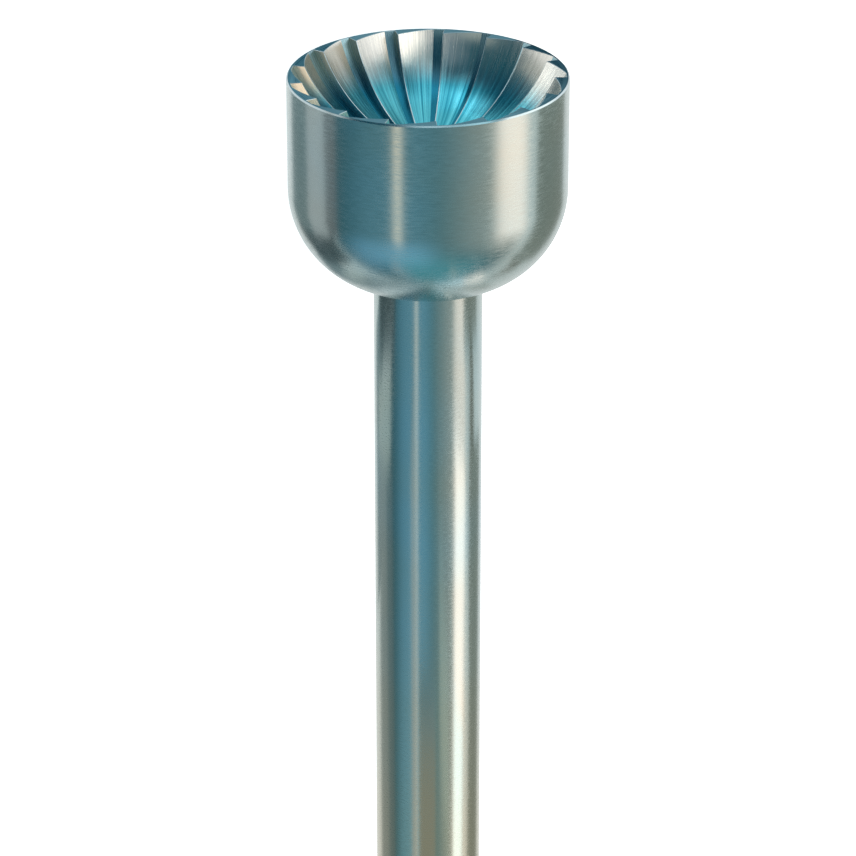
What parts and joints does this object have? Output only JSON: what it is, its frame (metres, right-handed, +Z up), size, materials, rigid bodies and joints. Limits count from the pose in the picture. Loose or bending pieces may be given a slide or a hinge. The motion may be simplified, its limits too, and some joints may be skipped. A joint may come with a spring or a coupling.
{
  "type": "carbide burr",
  "caption": "One-piece rotary cutter: a straight round shank carries a round-backed head whose free end is a cup lined with saw-shaped teeth.",
  "frame": {"origin": "centre of the base of the box round the burr, on the flat surface that the burr lies on", "axes": "+X along the burr towards the mouth of its cup, which its axis meets 2.5 degrees above the horizontal; +Z up; +Y across the burr"},
  "size_m": [0.0446, 0.006, 0.0061],
  "materials": {
    "carbide": "satin ground metal with a thin blue-green heat tint, more saturated in the cup"
  },
  "bodies": {
    "root": {"cup_burr": "carbide"}
  },
  "joints": []
}
